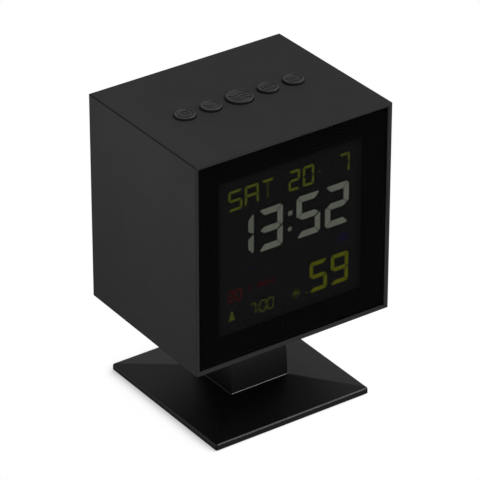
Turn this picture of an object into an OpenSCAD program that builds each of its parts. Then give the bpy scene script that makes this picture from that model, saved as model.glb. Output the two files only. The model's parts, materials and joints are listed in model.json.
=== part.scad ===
// Cube alarm clock with a colour segment display, on a square pedestal stand.
// Origin: centre of the underside of the stand's pad. +Z up, the display faces -Y.
// All sizes in millimetres.

/* [Body] */
// Width of the body at its front edge
body_w = 80; // [78:0.5:96]
// Height of the body at its front edge
body_h = 80; // [78:0.5:96]
// Depth of the body, front rim to back
body_d = 64.4; // [60:0.2:90]
// Moulding draft of the four walls, narrower to the back
body_draft = 0.5; // [0:0.1:1]
// Rounding of the body's outer edges
body_edge_r = 0.3; // [0.2:0.1:1]
// Thickness of the body's walls and back
wall_t = 2.2; // [1.8:0.1:2.6]
// Width of the rim that shows round the lens
rim_w = 1.1; // [0.9:0.1:1.7]
// Height of the body above the desk
body_lift = 32.8; // [26:0.2:60]

/* [Lens and display] */
// Depth of the lens below the front rim
lens_recess = 1; // [0:0.1:1.2]
// Thickness of the lens
lens_t = 1.5; // [1:0.1:2.5]
// Thickness of the black print and adhesive behind the lens
mask_t = 0.2; // [0.1:0.05:0.4]
// Width of the clear window
window_w = 59; // [50:0.5:60]
// Height of the clear window
window_h = 59; // [50:0.5:60]
// Display glass beyond the window on each side
lcd_border = 3.5; // [3.4:0.1:3.6]
// Thickness of each of the two display glasses
lcd_glass_t = 1.1; // [0.7:0.1:1.4]
// Thickness of the light guide behind the display
guide_t = 3; // [2:0.1:4]
// Thickness of the row of lamps beside the light guide
led_t = 1.4; // [1:0.1:1.6]
// Thickness of the elastomer contact strips
zebra_t = 1.8; // [1.4:0.1:1.9]
// Length of the elastomer contact strips
zebra_l = 50; // [30:1:56]

/* [Buttons] */
// Diameter of the middle button
snooze_d = 9.6; // [8:0.1:11]
// Diameter of the four outer buttons
key_d = 7.3; // [6.6:0.1:8.2]
// Space between neighbouring buttons
key_space = 3.2; // [2.7:0.1:3.6]
// Height of the buttons above the body
key_proud = 1; // [0.8:0.1:2]
// Travel of the buttons
key_travel = 0.5; // [0.2:0.05:0.6]
// Gap round each button in its hole
key_gap = 0.2; // [0.15:0.05:0.4]

/* [Battery bay] */
// Diameter of a cell
cell_d = 10.5; // [9.5:0.1:11]
// Length of a cell over its nub
cell_l = 44.5; // [40:0.1:48]
// Distance between the cells
cell_pitch = 11.2; // [11.1:0.1:12]
// Length of the battery springs as fitted
spring_l = 5.5; // [4:0.1:7]
// Wire diameter of the battery springs
spring_wire_d = 0.6; // [0.4:0.05:0.8]
// Turns in each battery spring
spring_turns = 4; // [3:0.5:5]
// Thickness of the bay's walls
bay_wall_t = 1.5; // [1.2:0.1:2]
// Thickness of the battery door
door_t = 1.8; // [1.6:0.1:2]
// Overlap of the door on the bay's rim
door_lap = 0.9; // [0.8:0.1:1.2]
// Height of the bay's centre, measured from the body's centre
bay_rise = -4; // [-6:0.5:-2]

/* [Stand] */
// Width of the base, which is as deep as the body
base_w = 64.4; // [60:0.2:90]
// Thickness of the base at its edge
base_edge_t = 2.6; // [2.4:0.1:5]
// Rounding of the base's upper edge
base_edge_r = 0.7; // [0.3:0.1:1]
// Height of the sloping top where it meets the neck
base_crown = 5.5; // [5:0.1:9]
// Width of the square neck at its foot
neck_w = 24.2; // [21:0.2:30]
// Draft of the neck, narrower to the top
neck_draft = 1.5; // [0:0.1:2]
// Rounding where the neck meets the base
neck_foot_r = 0.5; // [0.3:0.1:1]
// Thickness of the neck's hollow walls
neck_wall_t = 2; // [1.6:0.1:2.4]
// Thickness of the steel weight
weight_t = 1.4; // [1.2:0.1:1.7]
// Thickness of the foam pad
pad_t = 0.8; // [0.6:0.1:1.2]
// Height of the foam pad below the base
pad_proud = 0.4; // [0.2:0.1:0.5]

/* [Boards and inlet] */
// Thickness of the circuit boards
board_t = 1.6; // [1:0.1:2]
// Width of the power inlet's shell
inlet_w = 8.94; // [7:0.02:11]
// Height of the power inlet's shell
inlet_h = 3.26; // [2.6:0.02:4]
// Depth of the power inlet's shell
inlet_d = 7.35; // [6:0.05:9]
// Diameter of the sounder disc
piezo_d = 18; // [14:0.5:19]

/* [Hidden] */
$fn = 48;
case_black = "#303032";
gloss_black = "#070708";
stand_black = "#1c1c1e";
board_green = "#1d4a32";
part_black = "#202022";
steel = "#b9bbbe";
brass = "#c2a14d";

// Clearances that the fits share
fit = 0.2;           // between pieces that drop into a pocket
thread_fit = 0.05;   // round a screw's shank in its pilot hole
hole_fit = 0.2;      // round a screw's shank in a clearance hole
pilot_spare = 0.3;   // depth of a pilot hole past the end of its screw
touch = 0.1;         // between pieces that rest against each other with play
bite = 0.4;          // how far a rib or boss runs into the wall that carries it
cut = 1;             // how far a cutting tool runs past the face it cuts

// Body: drafted walls, measured from the front rim
front_y = -body_d / 2;
back_y = body_d / 2;
back_in_y = back_y - wall_t;
body_zc = body_lift + body_h / 2;
function inset(y) = (y - front_y) * tan(body_draft);
function half_w(y) = body_w / 2 - inset(y);
function half_h(y) = body_h / 2 - inset(y);

// Display stack, from the lens back to the main board
lens_f = front_y + lens_recess;
lens_b = lens_f + lens_t;
stack_f = lens_b + mask_t;
lcd_t = 2 * lcd_glass_t;
lcd_b = stack_f + lcd_t;
guide_b = lcd_b + guide_t;
frame_back_t = 1.8;
frame_b = guide_b + touch + frame_back_t;
standoff_h = 0.8;
main_f = frame_b + standoff_h;
main_b = main_f + board_t;
lens_half_w = body_w / 2 - rim_w;
lens_half_h = body_h / 2 - rim_w;
lens_fit = 0.1;
lcd_w = window_w + 2 * lcd_border;
lcd_h = window_h + 2 * lcd_border;
guide_w = window_w + 2;
guide_h = window_h + 1;
frame_w = 2 * (half_w(frame_b) - wall_t - fit);
frame_h = 2 * (half_h(frame_b) - wall_t - fit);
zebra_rib = 0.7;
zebra_z = guide_h / 2 + fit + zebra_rib + zebra_t / 2;
main_w = lcd_w - 2;
main_h = lcd_h;
standoff_d = 4.4;
standoff_x = guide_w / 2 - standoff_d / 2;
standoff_z = guide_h / 2 - standoff_d;

// Corner columns that carry the display frame
column_d = 5.2;
column_x = body_w / 2 - wall_t - column_d / 2;
column_z = body_h / 2 - wall_t - column_d / 2;

// Screws: [shank diameter, shank length, head diameter, head height]
frame_screw = [2, 8, 3.8, 1.5];
board_screw = [2, 3.4, 3.8, 1.3];
key_screw = [2, 5, 3.8, 1.3];
power_screw = [2, 4.4, 3.8, 1.3];
neck_screw = [3, 9, 5.5, 2];
weight_screw = [2.5, 8, 4.6, 1.2];
frame_seat_t = 2.5;   // frame left under the head of each frame screw

// Buttons: a row across the middle of the top
key_y = 0;
top_z = body_zc + half_h(key_y);
key_step = key_d + key_space;
key_x1 = snooze_d / 2 + key_space + key_d / 2;
KEY_X = [-key_x1 - key_step, -key_x1, 0, key_x1, key_x1 + key_step];
KEY_D = [key_d, key_d, snooze_d, key_d, key_d];
key_edge_r = 0.5;
key_lip = 0.9;
key_dish = 0.25;
key_flange = 1.2;
key_flange_t = 1;
key_stem_d = 3;
key_stem_l = 2;
key_rest_gap = 0.15;
plunger_d = 3.2;
plunger_proud = 0.8;
plunger_sunk = 0.7;
switch_w = 6;
switch_h = 3.5;
flange_top = top_z - wall_t - key_rest_gap;
plunger_top = flange_top - key_flange_t - key_stem_l;
switch_top = plunger_top - plunger_proud;
key_board_top = switch_top - switch_h;
key_board_z = key_board_top - board_t;
key_post_d = 4.6;
key_post_gap = 0.6;
key_post_x = KEY_X[4] + switch_w / 2 + key_post_d / 2 + key_post_gap;
key_post_y = 4.4;
key_board_rim = 3;
key_board_w = 2 * (key_post_x + key_board_rim);
key_board_d = 2 * (key_post_y + key_board_rim);

// Ribbon from the key board to the main board: a quarter turn
ribbon_w = 12;
ribbon_t = 0.3;
socket_w = 15;
socket_d = 4;
socket_h = 2;
ribbon_y0 = key_y - 2;
ribbon_z0 = key_board_z - socket_h;
ribbon_r = ribbon_y0 - (main_b + socket_h);
ribbon_z1 = ribbon_z0 - ribbon_r;

// Battery bay in the back, three cells lying across it
door_recess = 0.1;
door_play = 0.1;
bay_rim_y = back_y - door_recess - door_t - door_play;
bay_z = body_zc + bay_rise;
cell_cover_gap = 0.6;
cell_y = bay_rim_y - cell_cover_gap - cell_d / 2;
cell_fit = 0.15;
cradle_r = cell_d / 2 + cell_fit;
bay_floor_y = cell_y - cell_d / 4;
contact_t = 0.4;
contact_d = 8.4;
cell_end_gap = 0.15;
cell_row_gap = 0.35;
bay_w = cell_l + spring_l + 2 * contact_t + 2 * cell_end_gap;
bay_h = 2 * cell_pitch + cell_d + 2 * cell_row_gap;
bay_back_y = cell_y - cradle_r - bay_wall_t;
nub_d = 3.8;
nub_l = 1;
spring_base_r = 2.9;
spring_tip_r = 1.9;
CELL_DIR = [1, -1, 1];

// Battery door, swinging on its round lower edge
door_w = bay_w + 2 * door_lap;
door_fit = 0.2;
door_in_y = back_y - door_recess - door_t;
hinge_y = door_in_y + door_t / 2;
hinge_z = bay_z - bay_h / 2 - door_lap + door_t / 2;
door_top_z = bay_z + bay_h / 2 + door_lap;
door_corner_r = 2;
hook_inset = 10;
hook_x = door_w / 2 - hook_inset;
hook_w = 6;
hook_t = 1;
hook_gap = 0.6;
hook_y = bay_rim_y - hook_gap - hook_t;
hook_drop = 1.7;
hook_cell_gap = 0.35;
hook_cell_rise = sqrt(pow(cell_d / 2 + hook_cell_gap, 2) - pow(hook_y - cell_y, 2));
hook_rise = bay_z - cell_pitch - hook_cell_rise - hinge_z;
hook_sweep = 1.6;
pull_w = 14;
pull_h = 2.6;
pull_t = 1;
scoop_w = 18;
scoop_h = 4.2;

// Sounder and its slots in the back wall, above the battery door
piezo_ring_t = 1;
piezo_ring_h = 3;
piezo_step = 1;
piezo_t = 0.3;
piezo_wall_gap = 1;
piezo_ring_r = piezo_d / 2 + touch + piezo_ring_t;
piezo_z = body_zc + half_h(back_in_y) - wall_t - piezo_wall_gap - piezo_ring_r;
slot_t = 1.4;
slot_pitch = 3;
slot_count = 4;

// Power inlet, low on the back, its board's posts clear of the corner column
inlet_rise = 8;
inlet_z = body_zc - half_h(back_in_y) + wall_t + inlet_rise;
inlet_wall_t = 0.3;
inlet_back_t = 0.6;
inlet_recess = 0.6;
inlet_fit = 0.25;
inlet_mouth_y = back_y - inlet_recess;
tongue_w = 6.7;
tongue_t = 0.7;
tongue_l = 4.4;
power_board_w = 24;
power_board_d = 14;
power_board_top = inlet_z - inlet_h / 2;
power_board_y = back_in_y - touch - power_board_d;
power_post_d = 4.6;
power_post_inset = 3;
power_post_gap = 0.8;
power_post_x = power_board_w / 2 - power_post_inset;
power_post_y = power_board_y + power_post_inset;
inlet_x = column_x - column_d / 2 - power_post_gap - power_post_d / 2 - power_post_x;

// Stand: a base with a sloping top, a drafted hollow neck, a weight and a pad
base_d = body_d;
base_z0 = pad_proud;
base_edge_z = base_z0 + base_edge_t;
base_corner_r = 0.6;
base_lower_r = 0.3;
neck_corner_r = 0.4;
neck_half = neck_w / 2;
neck_top_half = neck_half - (body_lift - base_crown) * tan(neck_draft);
neck_cap_t = 10;
neck_core = neck_top_half - neck_wall_t;
recess_margin = 2.2;
weight_z = pad_t;
weight_top = weight_z + weight_t;
boss_d = 6;
boss_c = neck_core - boss_d / 2 + bite;
boss_cap_t = 1.6;
boss_top = weight_top + weight_screw[1] + boss_cap_t;
spigot_d = 8;
spigot_fit = 0.15;
neck_screw_c = neck_top_half - neck_wall_t - neck_screw[0];

// Shared shapes

// A block across the body whose sides follow the drafted walls, off millimetres inside them
module drafted_block(y0, y1, off) {
    a0 = half_w(y0) - off;
    b0 = half_h(y0) - off;
    a1 = half_w(y1) - off;
    b1 = half_h(y1) - off;
    translate([0, 0, body_zc])
        polyhedron(
            points = [
                [-a0, y0, -b0], [a0, y0, -b0], [a0, y0, b0], [-a0, y0, b0],
                [-a1, y1, -b1], [a1, y1, -b1], [a1, y1, b1], [-a1, y1, b1]
            ],
            faces = [[0, 3, 2, 1], [5, 6, 7, 4], [0, 1, 5, 4], [3, 7, 6, 2], [0, 4, 7, 3], [1, 2, 6, 5]]
        );
}

// The body's outside, with every edge rounded
module body_block() {
    ball_sides = 16;
    hull()
        for (sx = [-1, 1], sz = [-1, 1], y = [front_y + body_edge_r, back_y - body_edge_r])
            translate([sx * (half_w(y) - body_edge_r), y, body_zc + sz * (half_h(y) - body_edge_r)])
                sphere(r = body_edge_r / cos(180 / ball_sides), $fn = ball_sides);
}

// A box centred on x and z, between two depths
module box_y(w, h, y0, y1, z = body_zc) {
    translate([-w / 2, y0, z - h / 2]) cube([w, y1 - y0, h]);
}

// Turns a shape drawn in x and z so that it runs along +Y from y0 to y1
module along_y(y0, y1) {
    translate([0, y1, 0]) rotate([90, 0, 0]) linear_extrude(y1 - y0) children();
}

// A round bar along +Y
module bar_y(d, y0, y1) {
    translate([0, y0, 0]) rotate([-90, 0, 0]) cylinder(d = d, h = y1 - y0);
}

module rounded_rect(w, h, r) {
    square([w - 2 * r, h], center = true);
    square([w, h - 2 * r], center = true);
    for (sx = [-1, 1], sy = [-1, 1])
        translate([sx * (w / 2 - r), sy * (h / 2 - r)]) circle(r = r);
}

module stadium(w, h) {
    square([w - h, h], center = true);
    for (s = [-1, 1]) translate([s * (w - h) / 2, 0]) circle(d = h);
}

// Four copies, mirrored in x and y
module four(x, y) {
    for (sx = [-1, 1], sy = [-1, 1]) translate([sx * x, sy * y, 0]) children();
}

// The same in x and z, about the body's centre
module four_front(x, z) {
    for (sx = [-1, 1], sz = [-1, 1]) translate([sx * x, 0, body_zc + sz * z]) children();
}

// A pan-head screw pointing down, its head standing on z = 0, with a cross recess
module pan_screw(s) {
    recess = s[3] * 0.6;
    slot = s[0] * 0.3;
    reach = s[2] * 0.28;
    difference() {
        union() {
            translate([0, 0, -s[1]]) cylinder(d = s[0], h = s[1] + touch);
            cylinder(d1 = s[2], d2 = s[2] * 0.8, h = s[3]);
        }
        for (a = [0, 90])
            rotate(a) translate([-reach, -slot / 2, s[3] - recess]) cube([2 * reach, slot, recess + cut]);
    }
}

module pilot(s, depth) {
    translate([0, 0, -depth]) cylinder(d = s[0] + 2 * thread_fit, h = depth + cut);
}

// One ring of a loft: a rectangle with rounded corners, as points at height z
corner_steps = 5;
function ring(hx, hy, r, z) = [
    for (q = [0 : 3], i = [0 : corner_steps])
        let (a = 90 * q + 90 * i / corner_steps,
             sx = (q == 0 || q == 3) ? 1 : -1,
             sy = q < 2 ? 1 : -1)
            [sx * (hx - r) + r * cos(a), sy * (hy - r) + r * sin(a), z]
];

// A solid through a list of rings with equal counts of points, lowest ring first
module loft(rings) {
    n = len(rings[0]);
    last = len(rings) - 1;
    points = [for (r = rings) each r];
    sides = [
        for (k = [0 : last - 1], i = [0 : n - 1])
            let (j = (i + 1) % n, a = k * n + i, b = k * n + j, c = b + n, d = a + n)
                each [[a, d, c], [a, c, b]]
    ];
    floor_face = [for (i = [0 : n - 1]) i];
    roof_face = [for (i = [n - 1 : -1 : 0]) last * n + i];
    polyhedron(points = points, faces = concat(sides, [floor_face, roof_face]));
}

// A tube of six sides swept along a path of points, closed at both ends
tube_sides = 6;
function unit(v) = v / norm(v);
function tangent(p, i) = unit(p[min(i + 1, len(p) - 1)] - p[max(i - 1, 0)]);
module tube(path, d) {
    n = len(path);
    rings = [
        for (i = [0 : n - 1])
            let (t = tangent(path, i), u = unit(cross(t, [1, 0, 0])), v = cross(t, u))
                for (k = [0 : tube_sides - 1])
                    let (a = 360 * k / tube_sides) path[i] + d / 2 * (cos(a) * u + sin(a) * v)
    ];
    sides = [
        for (i = [0 : n - 2], k = [0 : tube_sides - 1])
            let (a = i * tube_sides + k, b = i * tube_sides + (k + 1) % tube_sides, c = b + tube_sides,
                 e = a + tube_sides)
                each [[a, e, c], [a, c, b]]
    ];
    start_face = [for (k = [0 : tube_sides - 1]) k];
    end_face = [for (k = [tube_sides - 1 : -1 : 0]) (n - 1) * tube_sides + k];
    polyhedron(points = rings, faces = concat(sides, [start_face, end_face]));
}

// Body

// A column in each corner, run into both walls, for the screws of the display frame
module frame_columns() {
    run = back_in_y + bite - frame_b;
    intersection() {
        drafted_block(frame_b, back_in_y + bite, wall_t - bite);
        for (sx = [-1, 1], sz = [-1, 1])
            translate([sx * column_x, frame_b, body_zc + sz * column_z]) {
                bar_y(column_d, 0, run);
                mirror([sx < 0 ? 1 : 0, 0, 0]) mirror([0, 0, sz < 0 ? 1 : 0]) cube([column_d, run, column_d]);
            }
    }
}

module key_posts() {
    translate([0, key_y, key_board_top])
        four(key_post_x, key_post_y) cylinder(d = key_post_d, h = top_z - wall_t + bite - key_board_top);
}

module power_posts() {
    foot = body_zc - half_h(power_post_y) + wall_t - bite;
    for (s = [-1, 1])
        translate([inlet_x + s * power_post_x, power_post_y, foot])
            cylinder(d = power_post_d, h = power_board_top - board_t - foot);
}

module piezo_ring() {
    translate([0, 0, piezo_z]) bar_y(2 * piezo_ring_r, back_in_y - piezo_ring_h, back_in_y + bite);
}

module bay_box() {
    box_y(bay_w + 2 * bay_wall_t, bay_h + 2 * bay_wall_t, bay_back_y, back_in_y + bite, bay_z);
}

module bay_cuts() {
    box_y(bay_w, bay_h, bay_floor_y, back_y + cut, bay_z);
    for (k = [-1 : 1])
        translate([-bay_w / 2, cell_y, bay_z + k * cell_pitch])
            rotate([0, 90, 0]) cylinder(r = cradle_r, h = bay_w);
    // recess for the door, its finger scoop, and the slots for its two hooks
    box_y(door_w + 2 * door_fit, door_top_z - hinge_z + door_t / 2 + 2 * door_fit, bay_rim_y, back_y + cut,
          (door_top_z + hinge_z - door_t / 2) / 2);
    translate([0, 0, door_top_z + (scoop_h - door_corner_r) / 2])
        along_y(back_y - pull_t - door_recess - door_play, back_y + cut)
            rounded_rect(scoop_w, scoop_h + door_corner_r, door_corner_r);
    for (s = [-1, 1])
        translate([s * hook_x - hook_w / 2 - fit, hook_y - hook_sweep, hinge_z - hook_drop - fit])
            cube([hook_w + 2 * fit, hook_t + hook_sweep + touch, hook_drop + hook_rise + fit]);
}

module sound_slots() {
    reach = piezo_d / 2 - piezo_step - slot_t;
    for (k = [0 : slot_count - 1]) {
        rise = (k - (slot_count - 1) / 2) * slot_pitch;
        translate([0, 0, piezo_z + rise]) along_y(back_in_y - cut, back_y + cut)
            stadium(2 * sqrt(reach * reach - rise * rise) + slot_t, slot_t);
    }
}

module housing() {
    color(case_black)
    difference() {
        union() {
            difference() {
                body_block();
                box_y(2 * lens_half_w, 2 * lens_half_h, front_y - cut, stack_f);
                drafted_block(stack_f - cut, back_in_y, wall_t);
            }
            frame_columns();
            key_posts();
            power_posts();
            piezo_ring();
            bay_box();
        }
        bay_cuts();
        sound_slots();
        // sounder seat
        translate([0, 0, piezo_z]) {
            bar_y(piezo_d + 2 * touch, back_in_y - piezo_ring_h - cut, back_in_y - piezo_ring_h + piezo_step);
            bar_y(piezo_d - 2 * piezo_step, back_in_y - piezo_ring_h - cut, back_in_y);
        }
        // button holes and the screws of the key board
        for (i = [0 : 4])
            translate([KEY_X[i], key_y, top_z - wall_t - cut])
                cylinder(d = KEY_D[i] + 2 * key_gap, h = wall_t + 2 * cut);
        translate([0, key_y, key_board_top]) four(key_post_x, key_post_y)
            rotate([180, 0, 0]) pilot(key_screw, key_screw[1] - board_t + pilot_spare);
        // frame screws, from the front
        four_front(column_x, column_z) translate([0, frame_b, 0]) rotate([90, 0, 0])
            pilot(frame_screw, frame_screw[1] - frame_seat_t + pilot_spare);
        // power inlet and its board
        translate([inlet_x, 0, inlet_z]) along_y(back_in_y - cut, back_y + cut)
            stadium(inlet_w + 2 * inlet_fit, inlet_h + 2 * inlet_fit);
        for (s = [-1, 1])
            translate([inlet_x + s * power_post_x, power_post_y, power_board_top - board_t])
                pilot(power_screw, power_screw[1] - board_t + pilot_spare);
        // neck screws and the neck's spigot
        translate([0, 0, body_lift - cut]) {
            four(neck_screw_c, neck_screw_c) cylinder(d = neck_screw[0] + 2 * hole_fit, h = wall_t + 3 * cut);
            cylinder(d = spigot_d + 2 * spigot_fit, h = wall_t + 3 * cut);
        }
    }
}

// Lens and display

module front_lens() {
    color(gloss_black)
    box_y(2 * (lens_half_w - lens_fit), 2 * (lens_half_h - lens_fit), lens_f, lens_b);
}

module lens_mask() {
    color("#050505")
    difference() {
        box_y(2 * (lens_half_w - lens_fit), 2 * (lens_half_h - lens_fit), lens_b, stack_f);
        box_y(window_w, window_h, lens_b - cut, stack_f + cut);
    }
}

module lcd_panel() {
    color("#151515") {
        box_y(lcd_w, lcd_h, stack_f, stack_f + lcd_glass_t);
        box_y(lcd_w, 2 * (zebra_z - zebra_t / 2 - touch), stack_f + lcd_glass_t, lcd_b);
    }
}

module light_guide() {
    color("#dfe4e6") box_y(guide_w, guide_h, lcd_b, guide_b);
}

module led_strip() {
    led_count = 6;
    led_w = 3;
    strip_t = led_t / 2;
    strip_h = guide_h - 4;
    strip_x = -guide_w / 2 - touch - led_t;
    pitch = strip_h / led_count;
    color("#e8e2c0")
    translate([strip_x, lcd_b + touch, body_zc]) {
        translate([0, 0, -strip_h / 2]) cube([strip_t, guide_t - touch, strip_h]);
        for (i = [0 : led_count - 1])
            translate([0, guide_t / 4, (i - (led_count - 1) / 2) * pitch - led_w / 2])
                cube([led_t, guide_t / 2, led_w]);
    }
}

module lcd_frame() {
    head_pocket = frame_b - frame_seat_t;
    guide_x0 = -guide_w / 2 - fit - led_t - fit;
    color("#e6e6e2")
    difference() {
        union() {
            box_y(frame_w, frame_h, stack_f, frame_b);
            four_front(standoff_x, standoff_z) bar_y(standoff_d, frame_b - bite, main_f);
        }
        box_y(lcd_w + 2 * fit, lcd_h + 2 * fit, stack_f - cut, lcd_b);
        translate([guide_x0, lcd_b - cut, body_zc - guide_h / 2 - fit])
            cube([guide_w / 2 + fit - guide_x0, guide_t + touch + cut, guide_h + 2 * fit]);
        for (s = [-1, 1])
            box_y(zebra_l + 2 * fit, zebra_t + 2 * touch, lcd_b - cut, frame_b + cut, body_zc + s * zebra_z);
        four_front(column_x, column_z) {
            bar_y(frame_screw[2] + 2 * fit, stack_f - cut, head_pocket);
            bar_y(frame_screw[0] + 2 * hole_fit, stack_f - cut, frame_b + cut);
        }
        four_front(standoff_x, standoff_z)
            translate([0, main_f, 0]) rotate([-90, 0, 0])
                pilot(board_screw, board_screw[1] - board_t + pilot_spare);
    }
}

module frame_screws() {
    color(steel)
    four_front(column_x, column_z)
        translate([0, frame_b - frame_seat_t, 0]) rotate([90, 0, 0]) pan_screw(frame_screw);
}

module zebra_strips() {
    color("#3a3a3a")
    for (s = [-1, 1]) box_y(zebra_l, zebra_t, stack_f + lcd_glass_t, main_f, body_zc + s * zebra_z);
}

// Boards

module main_board() {
    color(board_green)
    difference() {
        box_y(main_w, main_h, main_f, main_b);
        four_front(standoff_x, standoff_z) bar_y(board_screw[0] + 2 * hole_fit, main_f - cut, main_b + cut);
    }
}

module board_screws() {
    color(steel)
    four_front(standoff_x, standoff_z) translate([0, main_b, 0]) rotate([-90, 0, 0]) pan_screw(board_screw);
}

// The bonded chip under its drop of black resin
module clock_chip() {
    drop_d = 14;
    drop_h = 2;
    chip_fall = 10;
    steps = 8;
    ball_r = (drop_d * drop_d / 4 + drop_h * drop_h) / (2 * drop_h);
    reach = asin(drop_d / 2 / ball_r);
    arc = [
        for (i = [0 : steps])
            let (a = reach * i / steps) [ball_r * sin(a), drop_h - ball_r * (1 - cos(a))]
    ];
    color(part_black)
    translate([0, main_b, body_zc - chip_fall])
        rotate([-90, 0, 0]) rotate_extrude() polygon(concat([[0, 0]], arc));
}

// Crystal, two smoothing capacitors and the backlight driver
module board_parts() {
    cap_d = 5;
    cap_h = 6;
    cap_x = -20;
    cap_step = 7;
    cap_rise = 8;
    crystal_d = 3;
    crystal_l = 8;
    crystal_x = 14;
    crystal_fall = 12;
    driver_w = 5;
    driver_h = 4;
    driver_t = 1.5;
    driver_x = 16;
    driver_rise = 6;
    color("#3b3f55")
    for (i = [0, 1])
        translate([cap_x + cap_step * i, 0, body_zc + cap_rise]) bar_y(cap_d, main_b, main_b + cap_h);
    color(steel)
    translate([crystal_x, main_b + crystal_d / 2, body_zc - crystal_fall])
        cylinder(d = crystal_d, h = crystal_l);
    color(part_black)
    translate([driver_x, main_b, body_zc + driver_rise]) cube([driver_w, driver_t, driver_h]);
}

module key_board() {
    color(board_green)
    difference() {
        translate([-key_board_w / 2, key_y - key_board_d / 2, key_board_z])
            cube([key_board_w, key_board_d, board_t]);
        translate([0, key_y, key_board_z - cut])
            four(key_post_x, key_post_y) cylinder(d = key_screw[0] + 2 * hole_fit, h = board_t + 2 * cut);
    }
}

module key_board_screws() {
    color(steel)
    translate([0, key_y, key_board_z]) four(key_post_x, key_post_y) rotate([180, 0, 0]) pan_screw(key_screw);
}

module key_switches() {
    color(part_black)
    for (x = KEY_X)
        translate([x, key_y, key_board_top])
            difference() {
                translate([-switch_w / 2, -switch_w / 2, 0]) cube([switch_w, switch_w, switch_h]);
                translate([0, 0, switch_h - plunger_sunk - key_travel - fit])
                    cylinder(d = plunger_d + 2 * touch, h = switch_h);
            }
}

module ribbon_sockets() {
    color("#efe9da") {
        translate([-socket_w / 2, ribbon_y0 - socket_d / 2, ribbon_z0]) cube([socket_w, socket_d, socket_h]);
        translate([-socket_w / 2, main_b, ribbon_z1 - socket_d / 2]) cube([socket_w, socket_h, socket_d]);
    }
}

module key_ribbon() {
    color("#d8d8d0")
    translate([-ribbon_w / 2, ribbon_y0 - ribbon_r, ribbon_z0])
        intersection() {
            rotate([0, 90, 0]) difference() {
                cylinder(r = ribbon_r + ribbon_t / 2, h = ribbon_w);
                translate([0, 0, -cut]) cylinder(r = ribbon_r - ribbon_t / 2, h = ribbon_w + 2 * cut);
            }
            translate([-cut, 0, -2 * ribbon_r]) cube([ribbon_w + 2 * cut, 2 * ribbon_r, 2 * ribbon_r]);
        }
}

// Buttons

// A round cap with a dished top and a soft edge, a flange that holds it in, and a stem
module button(i) {
    r = KEY_D[i] / 2;
    dish_r = r - key_lip;
    crown = top_z + key_proud;
    steps = 4;
    edge_x = r - key_edge_r;
    edge_z = crown - key_edge_r;
    edge = [
        for (k = [0 : steps])
            let (a = 90 * k / steps) [edge_x + key_edge_r * cos(a), edge_z + key_edge_r * sin(a)]
    ];
    profile = concat(
        [
            [0, plunger_top], [key_stem_d / 2, plunger_top], [key_stem_d / 2, flange_top - key_flange_t],
            [r + key_flange, flange_top - key_flange_t], [r + key_flange, flange_top], [r, flange_top]
        ],
        edge,
        [[dish_r, crown - key_dish], [0, crown - key_dish]]
    );
    color(case_black)
    translate([KEY_X[i], key_y, 0]) rotate_extrude() polygon(profile);
}

module plunger(i) {
    color("#c9c4b8")
    translate([KEY_X[i], key_y, switch_top - plunger_sunk])
        cylinder(d = plunger_d, h = plunger_sunk + plunger_proud);
}

// Sounder and power inlet

module piezo_disc() {
    ceramic_d = piezo_d * 0.65;
    seat_y = back_in_y - piezo_ring_h + piezo_step;
    color(brass)
    translate([0, 0, piezo_z]) {
        bar_y(piezo_d, seat_y - piezo_t, seat_y);
        bar_y(ceramic_d, seat_y - 2 * piezo_t, seat_y - piezo_t);
    }
}

module power_board() {
    color(board_green)
    difference() {
        translate([inlet_x - power_board_w / 2, power_board_y, power_board_top - board_t])
            cube([power_board_w, power_board_d, board_t]);
        for (s = [-1, 1])
            translate([inlet_x + s * power_post_x, power_post_y, power_board_top - board_t - cut])
                cylinder(d = power_screw[0] + 2 * hole_fit, h = board_t + 2 * cut);
    }
}

module power_board_screws() {
    color(steel)
    for (s = [-1, 1])
        translate([inlet_x + s * power_post_x, power_post_y, power_board_top]) pan_screw(power_screw);
}

module usb_socket() {
    color(steel)
    translate([inlet_x, 0, inlet_z])
        difference() {
            along_y(inlet_mouth_y - inlet_d, inlet_mouth_y) stadium(inlet_w, inlet_h);
            along_y(inlet_mouth_y - inlet_d + inlet_back_t, inlet_mouth_y + cut)
                stadium(inlet_w - 2 * inlet_wall_t, inlet_h - 2 * inlet_wall_t);
        }
}

module usb_tongue() {
    root_y = inlet_mouth_y - inlet_d + inlet_back_t;
    color(part_black)
    translate([inlet_x - tongue_w / 2, root_y, inlet_z - tongue_t / 2]) cube([tongue_w, tongue_l, tongue_t]);
}

// Battery bay

function nub_x(k) = CELL_DIR[k] * (bay_w / 2 - contact_t - cell_end_gap);
function cell_z(k) = bay_z + (k - 1) * cell_pitch;

module batteries() {
    bevel = 0.4;
    profile = [
        [0, 0], [cell_d / 2 - bevel, 0], [cell_d / 2, bevel], [cell_d / 2, cell_l - nub_l - bevel],
        [cell_d / 2 - bevel, cell_l - nub_l], [nub_d / 2, cell_l - nub_l], [nub_d / 2, cell_l], [0, cell_l]
    ];
    color("#7d8187")
    for (k = [0 : 2])
        translate([nub_x(k) - CELL_DIR[k] * cell_l, cell_y, cell_z(k)])
            rotate([0, CELL_DIR[k] * 90, 0]) rotate_extrude() polygon(profile);
}

// One contact plate on the bay's end wall; a linked plate joins two cells
module contact_plate(side, rows) {
    bridge = contact_d / 2;
    translate([side > 0 ? bay_w / 2 - contact_t : -bay_w / 2, 0, 0])
        rotate([90, 0, 90]) linear_extrude(contact_t) {
            for (k = rows) translate([cell_y, cell_z(k)]) circle(d = contact_d);
            if (len(rows) > 1)
                translate([bay_floor_y + touch, cell_z(rows[0])])
                    square([bridge, cell_z(rows[1]) - cell_z(rows[0])]);
        }
}

module battery_contacts() {
    color(steel) {
        contact_plate(1, [0]);
        contact_plate(-1, [0, 1]);
        contact_plate(1, [1, 2]);
        contact_plate(-1, [2]);
    }
}

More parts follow.
